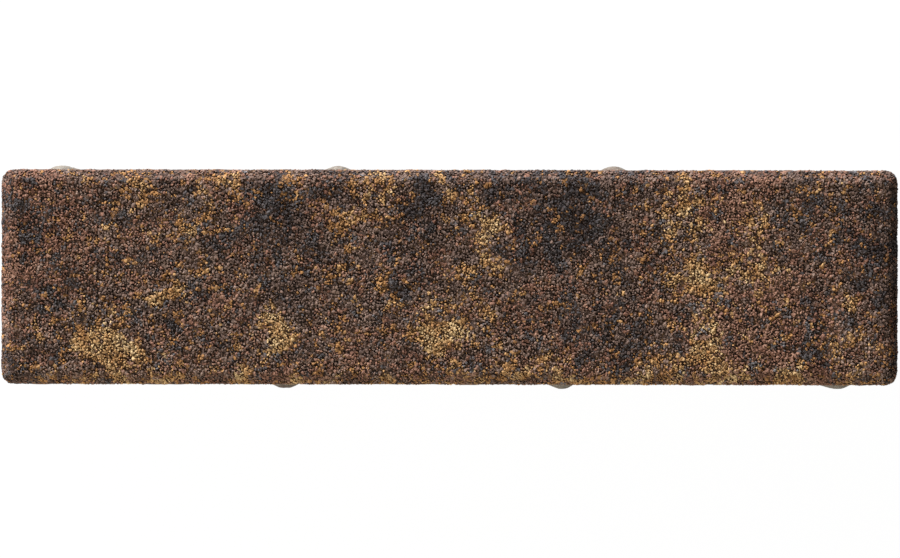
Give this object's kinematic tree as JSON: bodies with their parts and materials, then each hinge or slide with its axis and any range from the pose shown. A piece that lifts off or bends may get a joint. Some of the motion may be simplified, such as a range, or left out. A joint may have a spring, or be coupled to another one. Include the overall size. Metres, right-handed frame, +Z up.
{
  "type": "concrete paver",
  "caption": "Long, narrow pressed concrete paver with a bevelled, mottled brown walking face and upright spacer ribs on its long sides.",
  "frame": {"origin": "middle of the bed face, on the ground", "axes": "+X along the length, +Z up through the walking face, +Y across to a long side"},
  "size_m": [0.237, 0.06, 0.06],
  "materials": {
    "concrete": "coarse-grained pressed concrete, mottled brown, ochre and anthracite, matt"
  },
  "bodies": {
    "root": {"paver": "concrete"}
  },
  "joints": []
}
